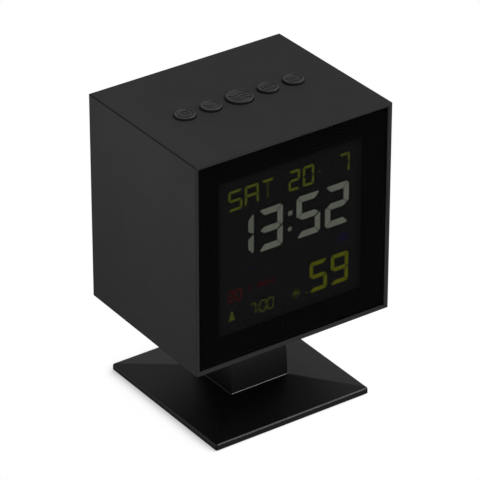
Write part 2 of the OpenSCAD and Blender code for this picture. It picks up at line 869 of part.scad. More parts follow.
// A cone of wire from the contact plate to the cell's flat end
spring_steps = 10;
function spring_point(t) =
    let (a = 360 * spring_turns * t, r = spring_base_r + (spring_tip_r - spring_base_r) * t)
        [touch + spring_wire_d / 2 + (spring_l - 2 * touch - spring_wire_d) * t, r * cos(a), r * sin(a)];
spring_path = [for (i = [0 : spring_turns * spring_steps]) spring_point(i / (spring_turns * spring_steps))];
spring_gap = min([
    for (i = [0 : len(spring_path) - 1], j = [i + spring_steps / 2 : 1 : len(spring_path) - 1])
        norm(spring_path[i] - spring_path[j]) - spring_wire_d
]);
echo(spring_least_gap = spring_gap);

module battery_springs() {
    color(steel)
    for (k = [0 : 2])
        translate([-CELL_DIR[k] * (bay_w / 2 - contact_t), cell_y, cell_z(k)])
            mirror([CELL_DIR[k] < 0 ? 1 : 0, 0, 0]) tube(spring_path, spring_wire_d);
}

// The door: a flat lid whose lower edge is fully round, two hooks behind it and a pull at the top
module battery_door() {
    plate_h = door_top_z - hinge_z;
    grip_count = 3;
    grip_start = 3;
    grip_pitch = 2;
    grip_w = 0.8;
    grip_depth = 0.4;
    color(case_black)
    difference() {
        union() {
            translate([0, 0, hinge_z + plate_h / 2]) along_y(door_in_y, door_in_y + door_t) {
                rounded_rect(door_w, plate_h, door_corner_r);
                translate([0, -plate_h / 4]) square([door_w, plate_h / 2], center = true);
            }
            translate([-door_w / 2, hinge_y, hinge_z]) rotate([0, 90, 0]) cylinder(d = door_t, h = door_w);
            translate([0, 0, door_top_z]) along_y(door_in_y + door_t - pull_t, door_in_y + door_t)
                rounded_rect(pull_w, 2 * pull_h, door_corner_r);
            for (s = [-1, 1])
                translate([s * hook_x - hook_w / 2, 0, 0]) {
                    translate([0, hook_y, hinge_z - hook_drop]) cube([hook_w, hook_t, hook_drop + hook_rise]);
                    translate([0, hook_y, hinge_z + door_t / 2])
                        cube([hook_w, door_in_y - hook_y + bite, hook_rise - door_t / 2]);
                }
        }
        for (i = [0 : grip_count - 1])
            translate([0, 0, door_top_z - grip_start - grip_pitch * i])
                along_y(door_in_y + door_t - grip_depth, door_in_y + door_t + cut) stadium(pull_w, grip_w);
    }
}

// Stand

// Outline of the stand from the desk up: edge, sloping top, foot of the neck, drafted neck
module stand_outside() {
    slope = atan((base_crown - base_edge_z) / (base_w / 2 - neck_half - neck_foot_r));
    edge_steps = 4;
    foot_steps = 4;
    top = body_lift + inset(neck_half) + cut;
    edge_rings = [
        for (i = [0 : edge_steps])
            let (a = (90 - slope) * i / edge_steps, d = base_edge_r * (1 - cos(a)))
                ring(base_w / 2 - d, base_d / 2 - d, base_corner_r, base_edge_z - base_edge_r * (1 - sin(a)))
    ];
    foot_rings = [
        for (i = [0 : foot_steps])
            let (a = slope + (90 - slope) * i / foot_steps, h = neck_half + neck_foot_r * (1 - sin(a)))
                ring(h, h, base_corner_r + (neck_corner_r - base_corner_r) * i / foot_steps,
                     base_crown + neck_foot_r * (1 - cos(a)))
    ];
    top_half = neck_half - (top - base_crown) * tan(neck_draft);
    loft(concat(
        [
            ring(base_w / 2 - base_lower_r, base_d / 2 - base_lower_r, base_corner_r, base_z0),
            ring(base_w / 2, base_d / 2, base_corner_r, base_z0 + base_lower_r)
        ],
        edge_rings,
        foot_rings,
        [ring(top_half, top_half, neck_corner_r, top)]
    ));
}

module stand() {
    core_top = body_lift - neck_cap_t;
    color(stand_black)
    difference() {
        union() {
            difference() {
                stand_outside();
                translate([0, 0, base_z0 - cut]) linear_extrude(weight_top - base_z0 + cut)
                    rounded_rect(base_w - 2 * recess_margin, base_d - 2 * recess_margin, base_corner_r);
                translate([-neck_core, -neck_core, 0]) cube([2 * neck_core, 2 * neck_core, core_top]);
                body_block();
            }
            translate([0, 0, weight_top])
                four(boss_c, boss_c) cylinder(d = boss_d, h = boss_top - weight_top);
            translate([0, 0, core_top + cut]) cylinder(d = spigot_d, h = body_lift + wall_t - core_top - cut);
        }
        translate([0, 0, weight_top])
            four(boss_c, boss_c) rotate([180, 0, 0]) pilot(weight_screw, weight_screw[1] + pilot_spare);
        translate([0, 0, body_lift + inset(neck_half) + cut])
            four(neck_screw_c, neck_screw_c) pilot(neck_screw, neck_screw[1] + cut);
    }
}

module neck_screws() {
    slope_gap = neck_screw[2] / 2 * tan(body_draft);
    color(steel)
    for (sx = [-1, 1], sy = [-1, 1])
        translate([sx * neck_screw_c, sy * neck_screw_c,
                   body_zc - half_h(sy * neck_screw_c) + wall_t + slope_gap])
            pan_screw(neck_screw);
}

// The outline that the weight and the pad share, inside the recess under the base
module recess_fill() {
    margin = 2 * (recess_margin + fit);
    rounded_rect(base_w - margin, base_d - margin, base_corner_r);
}

module base_weight() {
    shank = weight_screw[0] + 2 * hole_fit;
    head = weight_screw[2] + 2 * hole_fit;
    color("#8d8f92")
    translate([0, 0, weight_z])
        difference() {
            linear_extrude(weight_t) recess_fill();
            four(boss_c, boss_c) {
                translate([0, 0, -cut]) cylinder(d = shank, h = weight_t + 2 * cut);
                translate([0, 0, -cut]) cylinder(d = head, h = cut + touch);
                translate([0, 0, touch]) cylinder(d1 = head, d2 = shank, h = weight_screw[3] - touch);
            }
        }
}

// Flat-head screws, pointing up
module weight_screws() {
    color(steel)
    translate([0, 0, weight_z + touch]) four(boss_c, boss_c) {
        cylinder(d1 = weight_screw[2], d2 = weight_screw[0], h = weight_screw[3] - touch);
        cylinder(d = weight_screw[0], h = weight_t - touch + weight_screw[1]);
    }
}

module base_pad() {
    color("#161616")
    linear_extrude(pad_t) recess_fill();
}

housing();
front_lens();
lens_mask();
lcd_panel();
light_guide();
led_strip();
lcd_frame();
frame_screws();
zebra_strips();
main_board();
board_screws();
clock_chip();
board_parts();
key_board();
key_board_screws();
key_switches();
ribbon_sockets();
key_ribbon();
button(0);  // alarm_button
button(1);  // down_button
button(2);  // snooze_button
button(3);  // up_button
button(4);  // mode_button
plunger(0);  // alarm_plunger
plunger(1);  // down_plunger
plunger(2);  // snooze_plunger
plunger(3);  // up_plunger
plunger(4);  // mode_plunger
piezo_disc();
power_board();
power_board_screws();
usb_socket();
usb_tongue();
batteries();
battery_contacts();
battery_springs();
battery_door();
stand();
neck_screws();
base_weight();
weight_screws();
base_pad();
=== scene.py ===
"""Looks of a cube alarm clock with a colour segment display, dressed over its solids.

Lengths are in metres in the frame of the solids: +Z is up and the display faces -Y.
Glyphs and button marks are laid out in millimetres and scaled by MM.
"""
import json
import math

import bmesh
import bpy
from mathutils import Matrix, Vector


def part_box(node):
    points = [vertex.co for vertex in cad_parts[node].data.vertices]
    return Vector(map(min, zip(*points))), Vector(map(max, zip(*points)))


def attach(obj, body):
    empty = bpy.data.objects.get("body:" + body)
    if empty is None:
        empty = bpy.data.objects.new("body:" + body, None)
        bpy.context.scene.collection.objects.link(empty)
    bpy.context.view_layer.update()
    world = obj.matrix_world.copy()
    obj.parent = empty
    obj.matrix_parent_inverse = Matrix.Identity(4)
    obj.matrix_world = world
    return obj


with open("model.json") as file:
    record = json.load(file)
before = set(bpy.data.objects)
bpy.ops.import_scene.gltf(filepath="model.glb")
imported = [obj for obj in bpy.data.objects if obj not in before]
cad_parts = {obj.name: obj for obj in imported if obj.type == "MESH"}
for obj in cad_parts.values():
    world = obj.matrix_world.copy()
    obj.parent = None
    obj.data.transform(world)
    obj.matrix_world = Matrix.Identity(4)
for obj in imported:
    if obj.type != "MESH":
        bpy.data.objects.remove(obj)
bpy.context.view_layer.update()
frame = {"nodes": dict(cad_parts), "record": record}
display_low, display_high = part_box("lcd_panel")
display_centre = (display_low + display_high) / 2
display_front = display_low.y

MM = 0.001

# Camera, as the photograph was taken: its lens and sensor in millimetres, the end of its view in metres
VIEW_AZIMUTH = math.radians(35.0)
VIEW_ELEVATION = math.radians(29.98)
VIEW_DISTANCE = 1259.9 * MM
VIEW_TARGET = Vector((0.18, 0, 57.58)) * MM
VIEW_LENS = 275.66
SENSOR_WIDTH = 36
VIEW_END = 50

# Room: a sky that is white at the horizon, as (height, level), and three lamps, in millimetres. A lamp of
# level 1 is as bright as white, and each square metre of it has the power of WHITE_LAMP
SKY_LEVELS = [(0.0, 1.0), (0.14, 1.0), (0.26, 0.33), (0.6, 0.77), (1.0, 0.82)]
KEY_LAMP = {"spot": (994, -682, 1650), "width": 800, "height": 800, "level": 8.2}
FRONT_LAMP = {"spot": (497, -794, 395), "width": 210, "height": 210, "level": 18}
SIDE_LAMP = {"spot": (-130, 0, 132), "width": 60, "height": 60, "level": 6}
WHITE_LAMP = 4

# Floor: white where it is seen, with a contact shadow. The shadow starts where a share SHADOW_OPEN of the
# light from SHADOW_FROM gets in, and has its full depth at SHADOW_CLOSED
FLOOR_SIZE = 8
FLOOR_CELLS = 4
FLOOR_DROP = 0.02 * MM
FLOOR_SHADE = "#a8a8a8"
SHADOW_REACH = 13 * MM
SHADOW_SAMPLES = 16
SHADOW_FROM = (0.6, -0.68, 0.42)
SHADOW_OPEN = 0.86
SHADOW_CLOSED = 0.3
SHADOW_DEPTH = 0.5

# Smoked lens: the share of light that each of its two faces keeps back
LENS_DENSITY = 0.55
LENS_FACES = 2
LENS_GAIN = (1 - LENS_DENSITY) ** -LENS_FACES

# Display: its lit plates stand DISPLAY_LIFT in front of the glass. The picture's middle and the ends of its
# glow, each as (axis, end, fade), are in millimetres from the middle of the glass: x to the right, z up
DISPLAY_LIFT = 0.02 * MM
DISPLAY_PLATE = 0.06 * MM
PICTURE_X = 0.45
PICTURE_Z = -0.5
GLOW_EDGES = [("x", -28.7, 0.8), ("x", 30.6, 4.6), ("z", 29.0, 1.5), ("z", -30.4, 3.6)]

# Corners of the plates: radius in millimetres, the share of a side that one may take, and steps of its arc
GLYPH_CORNER = 0.16
CORNER_LIMIT = 0.45
CORNER_STEPS = 3
DISC_SIDES = 28

# Bars of a digit: the gap between two in millimetres
SEGMENT_GAP = 0.32
# Shares of the stroke: width of an upright bar, the stem, and of a cut corner
STEM_SHARE = 0.91
CUT_SHARE = 0.35
# Share of the stem by which the joint at the middle lies in from the side
TIP_SHARE = 0.27
# Shares of half the stroke: end of an upper stem above the middle, and of the lower right stem below it
SHOULDER_SHARE = 0.2
DROP_SHARE = 0.15

# Bell sign: radius of its crown as a share of its half width, steps of the crown's arc, its waist as a share
# of its height, and the flare of the waist as a multiple of the crown
BELL_CROWN = 0.42
BELL_STEPS = 8
BELL_WAIST = 0.3
BELL_FLARE = 1.5

# Button marks: width of their lines and the gap that counts as closed, in millimetres, then their height, how
# far they sink into the dish, and the distance at which corners are joined
MARK_WIDTH = 0.48
MARK_CLOSED = MARK_WIDTH / 100
MARK_HEIGHT = 0.22 * MM
MARK_SINK = 0.03 * MM
MARK_WELD = MARK_SINK / 10
WAVE_STEPS = 24
WAVE_TURNS = 0.75

# Moulded plastic: size of the patches of its tone and of its gloss, and the noise levels of a tone's two ends
TONE_GRAIN = 9 * MM
GLOSS_GRAIN = 3 * MM
CLOUD_LOW = 0.3
CLOUD_HIGH = 0.7

# Masks in materials, from none to full, by the x, y or z of the surface's direction
# Masks for painted light on the front of the case's rim and on the sill and right wall inside it
LIT_RIM_FRONT = (-0.9, -0.98)
LIT_RECESS_FACING = 0.5
# Masks for painted shade and painted highlights on the button caps
DISH_SHADED = (-0.15, -0.4)
CAP_SIDE_SHADE = (0.35, 0.9)
CAP_LIT = (0.4, 0.75)
CAP_LIT_UP = (0.3, 0.55)
STAND_SLOPE = (0.96, 0.985)
STAND_UPRIGHT = (0.12, 0.05)

# Buttons: depth of the dish, and the shares of it below the crown between which the lip's painted highlight
# comes in
DISH_DEPTH = 0.25 * MM
LIP_HIGHLIGHT_SHARES = (0.8, 0.2)

# Stand: roughness of its faces, of the rounded edges of its base and of its neck's foot, and of the upright
# side of its base, which ends at BASE_SIDE_TOP
ROUGH_FACES = 0.4
ROUGH_EDGES = 0.31
ROUGH_FOOT = 0.22
ROUGH_SIDE = 0.8
BASE_SIDE_TOP = 3.2 * MM

# Case: the width of the painted shade along its long edges and of that shade's darkest part, how far in from
# its outside the walls inside its rim lie at most, and the slope of its sides
EDGE_SHADE_BAND = 0.55 * MM
EDGE_SHADE_CORE = EDGE_SHADE_BAND / 3
RIM_REACH = 1.5 * MM
CASE_DRAFT = math.tan(math.radians(0.5))

# Sockets of a mix node that carry colours
MIX_FIRST = 6
MIX_SECOND = 7
MIX_RESULT = 2


def linear(hex_colour):
    """A written colour such as #303030 as linear RGBA."""
    parts = [int(hex_colour[i : i + 2], 16) / 255 for i in (1, 3, 5)]
    return [p / 12.92 if p <= 0.04045 else ((p + 0.055) / 1.055) ** 2.4 for p in parts] + [1]


class Finish:
    """A node material: one Principled shader and the textures that feed it."""

    def __init__(self, name, sockets):
        self.material = bpy.data.materials.new(name)
        self.material.use_nodes = True
        self.nodes = self.material.node_tree.nodes
        self.links = self.material.node_tree.links
        self.shader = self.nodes["Principled BSDF"]
        for socket, value in sockets.items():
            self.shader.inputs[socket].default_value = value

    def node(self, kind, inputs=(), **settings):
        """A new node. Each of its inputs is a value or the output of another node."""
        made = self.nodes.new(kind)
        for key, value in settings.items():
            setattr(made, key, value)
        for socket, value in dict(inputs).items():
            if isinstance(value, bpy.types.NodeSocket):
                self.links.new(value, made.inputs[socket])
            else:
                made.inputs[socket].default_value = value
        return made

    def feed(self, socket, output):
        """Drives a socket of the shader."""
        self.links.new(output, self.shader.inputs[socket])

    def place(self, stretch=(1, 1, 1)):
        """Position in the piece's own space, stretched along its axes."""
        spot = self.node("ShaderNodeTexCoord").outputs["Object"]
        return self.node("ShaderNodeMapping", {"Vector": spot, "Scale": stretch}).outputs["Vector"]

    def noise(self, grain, detail=3.0, stretch=(1, 1, 1)):
        """Cloudy values from 0 to 1 with patches about as large as grain."""
        inputs = {"Vector": self.place(stretch), "Scale": 1 / grain, "Detail": detail}
        return self.node("ShaderNodeTexNoise", inputs).outputs["Fac"]

    def math(self, operation, first, second=0.0):
        return self.node("ShaderNodeMath", {0: first, 1: second}, operation=operation).outputs[0]

    def normal(self):
        """The x, y and z of the surface's direction in the piece's own space."""
        facing = self.node("ShaderNodeTexCoord").outputs["Normal"]
        return self.node("ShaderNodeSeparateXYZ", {0: facing}).outputs

    def position(self, space="Object"):
        """The x, y and z of the place in metres, or in the space Generated as shares of the piece's box."""
        spot = self.node("ShaderNodeTexCoord").outputs[space]
        return self.node("ShaderNodeSeparateXYZ", {0: spot}).outputs

    def span(self, factor, low, high, start=0.0, stop=1.0, smooth=False):
        """Maps factor from start..stop to low..high."""
        inputs = {"Value": factor, "From Min": start, "From Max": stop, "To Min": low, "To Max": high}
        kind = "SMOOTHSTEP" if smooth else "LINEAR"
        return self.node("ShaderNodeMapRange", inputs, interpolation_type=kind).outputs["Result"]

    def mask(self, factor, none, full, smooth=False):
        """0 where factor is at none, and up to 1 where it is at full."""
        return self.span(factor, 0.0, 1.0, none, full, smooth)

    def ramp(self, factor, *stops):
        """A colour from stops of (place, colour)."""
        made = self.node("ShaderNodeValToRGB", {"Fac": factor})
        band = made.color_ramp
        while len(band.elements) < len(stops):
            band.elements.new(1)
        for element, (spot, colour) in zip(band.elements, stops):
            element.position = spot
            element.color = linear(colour) if isinstance(colour, str) else colour
        return made.outputs["Color"]

    def clouds(self, factor, dark, light):
        """A tone that drifts between two colours."""
        return self.ramp(factor, (CLOUD_LOW, dark), (CLOUD_HIGH, light))

    def mix(self, factor, first, second):
        """The first colour where factor is 0, and the second where it is 1."""
        inputs = {"Factor": factor, MIX_FIRST: first, MIX_SECOND: second}
        return self.node("ShaderNodeMix", inputs, data_type="RGBA").outputs[MIX_RESULT]

    def bump(self, height, depth):
        made = self.node("ShaderNodeBump", {"Height": height, "Distance": depth})
        self.feed("Normal", made.outputs["Normal"])


def moulded(name, dark, light, roughness, specular, grain, depth):
    """Moulded plastic: cloudy tone, uneven gloss and a fine spark-eroded skin."""
    finish = Finish(name, {"Specular IOR Level": specular})
    tone = finish.clouds(finish.noise(TONE_GRAIN), dark, light)
    finish.feed("Roughness", finish.span(finish.noise(GLOSS_GRAIN), *roughness))
    finish.bump(finish.noise(grain, detail=4), depth)
    return finish, tone


def case_plastic():
    """Dark grey case. Painted shade darkens a band along its four long edges.

    Painted light makes the front of its rim a little paler, and the sill and the right wall inside the rim
    paler too.
    """
    skin = {"roughness": (0.5, 0.62), "specular": 0.02, "grain": 0.35 * MM, "depth": 0.012 * MM}
    finish, tone = moulded("case_plastic", "#262626", "#282828", **skin)
    low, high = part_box("housing")
    x, y, z = finish.position()
    rise = finish.math("SUBTRACT", z, (low.z + high.z) / 2)
    reach = finish.math("MINIMUM", finish.math("ABSOLUTE", x), finish.math("ABSOLUTE", rise))
    taper = finish.math("MULTIPLY", finish.math("SUBTRACT", y, low.y), CASE_DRAFT)
    reach = finish.math("ADD", reach, taper)
    # Painted shade: a dark band along the four long edges
    painted_edge_shade = finish.mask(reach, high.x - EDGE_SHADE_BAND, high.x - EDGE_SHADE_CORE, smooth=True)
    tone = finish.mix(painted_edge_shade, tone, linear("#131313"))
    across, along, up = finish.normal()
    # Painted light: faces towards the front are a little paler
    tone = finish.mix(finish.mask(along, *LIT_RIM_FRONT), tone, linear("#2b2b2b"))
    # Painted light on the sill inside the rim
    painted_sill_light = finish.math("LESS_THAN", z, low.z + RIM_REACH)
    painted_sill_light = finish.math("MULTIPLY", painted_sill_light, finish.math("GREATER_THAN", up, LIT_RECESS_FACING))
    tone = finish.mix(painted_sill_light, tone, linear("#303030"))
    # Painted light on the right wall inside the rim, which faces the light from the left
    painted_wall_light = finish.math("GREATER_THAN", x, high.x - RIM_REACH)
    painted_wall_light = finish.math("MULTIPLY", painted_wall_light, finish.math("LESS_THAN", across, -LIT_RECESS_FACING))
    finish.feed("Base Color", finish.mix(painted_wall_light, tone, linear("#525252")))
    return finish.material


def button_plastic():
    """Button caps with a painted highlight on the lip round their dish and on their marks, and painted shade,
    nearly black, down their sides.

    On the right half of a cap the slope of the dish, which faces left and away from the light, is dark too.
    The rounded edge there faces the light and is the palest.
    """
    skin = {"roughness": (0.45, 0.55), "specular": 0.03, "grain": 0.3 * MM, "depth": 0.008 * MM}
    finish, dish = moulded("button_plastic", "#2d2d2d", "#2f2f2f", **skin)
    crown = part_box("snooze_button")[1].z
    lip_foot, lip_top = (crown - DISH_DEPTH * share for share in LIP_HIGHLIGHT_SHARES)
    # Painted highlight: the raised lip and the marks are paler
    raised_highlight = finish.mask(finish.position()[2], lip_foot, lip_top, smooth=True)
    tone = finish.mix(raised_highlight, dish, linear("#343434"))
    across, along, up = finish.normal()
    right_half = finish.math("GREATER_THAN", finish.position("Generated")[0], 0.5)
    shaded = finish.math("MULTIPLY", right_half, finish.mask(across, *DISH_SHADED))
    tone = finish.mix(shaded, tone, linear("#202020"))
    # Painted shade: the sides of a cap are nearly black
    tone = finish.mix(finish.mask(up, *CAP_SIDE_SHADE, smooth=True), linear("#151515"), tone)
    lit = finish.mask(finish.math("SUBTRACT", across, along), *CAP_LIT)
    lit = finish.math("MULTIPLY", lit, finish.mask(up, *CAP_LIT_UP))
    lit = finish.math("MULTIPLY", lit, right_half)
    finish.feed("Base Color", finish.mix(lit, tone, linear("#3b3b3b")))
    return finish.material


def stand_plastic():
    """Black stand: satin faces, polished rounded edges and a matt side all round the base."""
    finish = Finish("stand_plastic", {"Specular IOR Level": 0.16})
    finish.feed("Base Color", finish.clouds(finish.noise(TONE_GRAIN), "#020202", "#040404"))
    up = finish.normal()[2]
    slope = finish.mask(up, *STAND_SLOPE)
    upright = finish.mask(up, *STAND_UPRIGHT)
    low_down = finish.math("LESS_THAN", finish.position()[2], BASE_SIDE_TOP)
    side = finish.math("MULTIPLY", upright, low_down)
    rounded = finish.span(low_down, ROUGH_FOOT, ROUGH_EDGES)
    satin = finish.span(finish.math("MAXIMUM", slope, upright), rounded, ROUGH_FACES)
    rough = finish.math("ADD", satin, finish.math("MULTIPLY", side, ROUGH_SIDE - ROUGH_FACES))
    uneven = finish.span(finish.noise(GLOSS_GRAIN), 0.9, 1.1)
    finish.feed("Roughness", finish.math("MULTIPLY", rough, uneven))
    finish.bump(finish.noise(0.6 * MM, detail=4), 0.002 * MM)
    return finish.material


def smoked_lens():
    """Polished smoked lens with the faintest uneven gloss."""
    sockets = {"Base Color": linear("#020202"), "Alpha": LENS_DENSITY, "Specular IOR Level": 0.03}
    finish = Finish("smoked_lens", sockets)
    finish.feed("Roughness", finish.span(finish.noise(6 * MM), 0.02, 0.06))
    return finish.material


def lens_print():
    """Black print behind the lens."""
    finish = Finish("lens_print", {"Specular IOR Level": 0.0, "Roughness": 0.8})
    finish.feed("Base Color", finish.clouds(finish.noise(0.4 * MM), "#030303", "#060606"))
    return finish.material


def display_glass():
    """Dark display glass with a faint glow that fades towards the edges of the window."""
    sockets = {"Specular IOR Level": 0.0, "Roughness": 0.5, "Emission Strength": LENS_GAIN}
    finish = Finish("display_glass", sockets)
    x, _, z = finish.position()
    spot = {"x": x, "z": finish.math("SUBTRACT", z, display_centre.z)}
    level = finish.span(finish.noise(14 * MM), 0.94, 1.06)
    for axis, end, fade in GLOW_EDGES:
        inner = end - math.copysign(fade, end)
        share = finish.mask(spot[axis], end * MM, inner * MM, smooth=True)
        level = finish.math("MULTIPLY", level, share)
    finish.feed("Emission Color", finish.ramp(level, (0, "#010101"), (1, "#090909")))
    finish.feed("Base Color", finish.clouds(finish.noise(2 * MM), "#0b0b0b", "#0f0f0f"))
    return finish.material


def lit_segment(name, colour, dim=0.88):
    """A lit display segment, written in the colour that it shows through the smoked lens."""
    sockets = {
        "Base Color": linear("#040404"),
        "Specular IOR Level": 0.0,
        "Roughness": 0.6,
        "Emission Strength": LENS_GAIN,
    }
    finish = Finish(name, sockets)
    full = linear(colour)
    faint = [c * dim for c in full[:3]] + [1]
    finish.feed("Emission Color", finish.ramp(finish.noise(1.6 * MM), (0.35, faint), (0.65, full)))
    return finish.material


def metal(name, dark, light, roughness, grain, stretch=(1, 1, 1)):
    """Plated or rolled metal with fine drawing lines."""
    finish = Finish(name, {"Metallic": 1.0})
    streaks = finish.noise(grain, stretch=stretch)
    finish.feed("Base Color", finish.clouds(streaks, dark, light))
    finish.feed("Roughness", finish.span(streaks, *roughness))
    finish.bump(streaks, 0.004 * MM)
    return finish.material


def matt(name, dark, light, grain, roughness=0.7):
    """A plain moulded or cut surface with a fine grain."""
    finish = Finish(name, {"Roughness": roughness, "Specular IOR Level": 0.3})
    cloud = finish.noise(grain)
    finish.feed("Base Color", finish.clouds(cloud, dark, light))
    finish.bump(cloud, 0.01 * MM)
    return finish.material


def striped(name, dark, light, pitch, direction):
    """Even stripes across one axis, such as a ribbon's wires."""
    finish = Finish(name, {"Roughness": 0.5})
    inputs = {"Vector": finish.place(), "Scale": 1 / (pitch * math.pi)}
    wave = finish.node("ShaderNodeTexWave", inputs, bands_direction=direction)
    finish.feed("Base Color", finish.ramp(wave.outputs["Fac"], (0.35, dark), (0.65, light)))
    finish.bump(wave.outputs["Fac"], 0.02 * MM)
    return finish.material


def circuit_board():
    """Green board with paler tracks under its lacquer."""
    finish = Finish("circuit_board", {"Roughness": 0.35})
    inputs = {"Vector": finish.place(), "Scale": 1 / (1.6 * MM)}
    cells = finish.node("ShaderNodeTexVoronoi", inputs, distance="MANHATTAN", feature="F1")
    tracks = cells.outputs["Distance"]
    finish.feed("Base Color", finish.ramp(tracks, (0.25, "#123a26"), (0.32, "#1f5a3b"), (0.6, "#174a30")))
    finish.bump(tracks, 0.03 * MM)
    return finish.material


def cell_can():
    """Cell in a plain grey sleeve with a pale band round each end."""
    finish = Finish("cell_can", {"Roughness": 0.3, "Metallic": 0.4})
    low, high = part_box("batteries")
    x = finish.position()[0]
    half = (high.x - low.x) / 2
    along = finish.mask(finish.math("ABSOLUTE", x), 0.0, half)
    finish.feed("Base Color", finish.ramp(along, (0.62, "#4b5258"), (0.66, "#b9bcbe"), (0.9, "#c6c8ca")))
    finish.bump(finish.noise(1.2 * MM), 0.01 * MM)
    return finish.material


def foam():
    """Black closed-cell foam."""
    finish = Finish("foam", {"Roughness": 0.95, "Specular IOR Level": 0.1})
    cells = finish.node("ShaderNodeTexVoronoi", {"Vector": finish.place(), "Scale": 1 / (0.35 * MM)})
    finish.feed("Base Color", finish.ramp(cells.outputs["Distance"], (0.1, "#0c0c0c"), (0.6, "#191919")))
    finish.bump(cells.outputs["Distance"], 0.05 * MM)
    return finish.material


def solid_finishes():
    """One material for each material slot of the record."""
    brushed = (1, 1, 9)
    return {
        "case_plastic": case_plastic(),
        "button_plastic": button_plastic(),
        "stand_plastic": stand_plastic(),
        "lens": smoked_lens(),
        "lens_print": lens_print(),
        "display_glass": display_glass(),
        "light_guide": matt("light_guide", "#d9dddd", "#e6eaea", 4 * MM, roughness=0.2),
        "lamp_strip": striped("lamp_strip", "#cfc9a8", "#efe9c8", 4.6 * MM, "Z"),
        "frame_plastic": matt("frame_plastic", "#d9d9d4", "#e6e6e1", 1.5 * MM),
        "contact_rubber": striped("contact_rubber", "#1d1d1d", "#c9c3b8", 0.2 * MM, "X"),
        "circuit_board": circuit_board(),
        "component_black": matt("component_black", "#141414", "#1e1e1e", 0.3 * MM),
        "socket_plastic": matt("socket_plastic", "#e0d9c8", "#efe9da", 0.8 * MM),
        "ribbon": striped("ribbon", "#9d9d97", "#d9d9d2", 1.25 * MM, "X"),
        "screw_steel": metal("screw_steel", "#8f9194", "#b7babd", (0.3, 0.45), 0.5 * MM),
        "sounder_brass": metal("sounder_brass", "#554c34", "#6e6446", (0.4, 0.55), 0.8 * MM),
        "inlet_steel": metal("inlet_steel", "#9fa2a5", "#c4c7ca", (0.25, 0.38), 0.4 * MM, brushed),
        "cell_can": cell_can(),
        "contact_steel": metal("contact_steel", "#a5a7aa", "#c9cbce", (0.22, 0.35), 0.4 * MM, brushed),
        "weight_steel": metal("weight_steel", "#6f7174", "#8d8f92", (0.4, 0.55), 1.5 * MM, brushed),
        "foam": foam(),
    }


def dress_solids():
    """Gives each solid the finish of its slot, and returns all finishes by slot."""
    finishes = solid_finishes()
    for part in frame["record"]["subparts"]:
        node = frame["nodes"][part["node"]]
        node.data.materials.clear()
        node.data.materials.append(finishes[part["material_slot"]])
    return finishes


def piece(name, mesh_data, material, body):
    """Links a finished bmesh as a piece that rides on a body."""
    bmesh.ops.recalc_face_normals(mesh_data, faces=mesh_data.faces)
    mesh = bpy.data.meshes.new(name)
    mesh_data.to_mesh(mesh)
    mesh_data.free()
    made = bpy.data.objects.new(name, mesh)
    bpy.context.scene.collection.objects.link(made)
    made.data.materials.append(material)
    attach(made, body)


def raise_faces(mesh_data, direction):
    """Thickens the flat faces of a bmesh into closed solids."""
    grown = bmesh.ops.extrude_face_region(mesh_data, geom=mesh_data.faces[:], use_keep_orig=True)
    verts = [item for item in grown["geom"] if isinstance(item, bmesh.types.BMVert)]
    bmesh.ops.translate(mesh_data, verts=verts, vec=direction)


def soften(outline):
    """Rounds the corners of a closed outline with short arcs."""
    soft = []
    for i, corner in enumerate(outline):
        corner = Vector(corner)
        before = Vector(outline[i - 1]) - corner
        after = Vector(outline[(i + 1) % len(outline)]) - corner
        reach = min(GLYPH_CORNER, before.length * CORNER_LIMIT, after.length * CORNER_LIMIT)
        start = corner + before.normalized() * reach
        end = corner + after.normalized() * reach
        for k in range(CORNER_STEPS + 1):
            t = k / CORNER_STEPS
            soft.append((1 - t) ** 2 * start + 2 * t * (1 - t) * corner + t * t * end)
    return soft


def arc_path(x, y, radius, start, stop, steps=20):
    """Points along an arc, its angles in degrees."""
    path = []
    for i in range(steps + 1):
        angle = math.radians(start + (stop - start) * i / steps)
        path.append((x + radius * math.cos(angle), y + radius * math.sin(angle)))
    return path


# Display glyphs, in millimetres from the middle of the picture: x to the right, z up

SEGMENTS = {
    "0": "abcdef", "1": "bc", "2": "abged", "3": "abgcd", "5": "afgcd", "7": "abc", "9": "abcdfg",
    "S": "afgcd", "A": "abcefg",
}


def mirrored(outline, x=None, z=None):
    """The outline mirrored about an upright line at x, a level line at z, or both."""
    return [(px if x is None else 2 * x - px, pz if z is None else 2 * z - pz) for px, pz in outline]


def segment_outlines(left, low, width, height, stroke):
    """The seven mitred bars of a digit by name, from a on top clockwise to f, and g in the middle.

    Its upright bars, the stems, are a little narrower than the level ones.
    """
    right, top = left + width, low + height
    middle, centre = low + height / 2, left + width / 2
    stem = stroke * STEM_SHARE
    tip = stem * TIP_SHARE
    cut = stroke * CUT_SHARE
    half = stroke / 2
    shoulder = half * SHOULDER_SHARE
    drop = half * DROP_SHARE
    gap = SEGMENT_GAP / 2
    bar_a = [
        (left + cut + gap, top), (right - cut - gap, top), (right - cut / 2 - gap, top - cut / 2),
        (right - stem - gap, top - stroke), (left + stem + gap, top - stroke),
        (left + cut / 2 + gap, top - cut / 2),
    ]
    bar_b = [
        (right, top - cut - gap), (right, middle + shoulder + gap), (right - tip, middle + gap),
        (right - stem, middle + half + gap), (right - stem, top - stroke - gap),
        (right - cut / 2, top - cut / 2 - gap),
    ]
    bar_g = [
        (left + tip + gap, middle), (left + stem + gap, middle + half),
        (right - stem - gap, middle + half), (right - tip - gap, middle),
        (right - stem - gap, middle - half), (left + stem + gap, middle - half),
    ]
    foot = mirrored(bar_b, z=middle)
    slant = [(right, middle - drop - gap), (right - stem, middle - half - 2 * drop - gap)]
    bar_c = [foot[0], *slant, *foot[4:]]
    return {
        "a": bar_a,
        "b": bar_b,
        "c": bar_c,
        "d": mirrored(bar_a, z=middle),
        "e": mirrored(bar_b, x=centre, z=middle),
        "f": mirrored(bar_b, x=centre),
        "g": bar_g,
    }


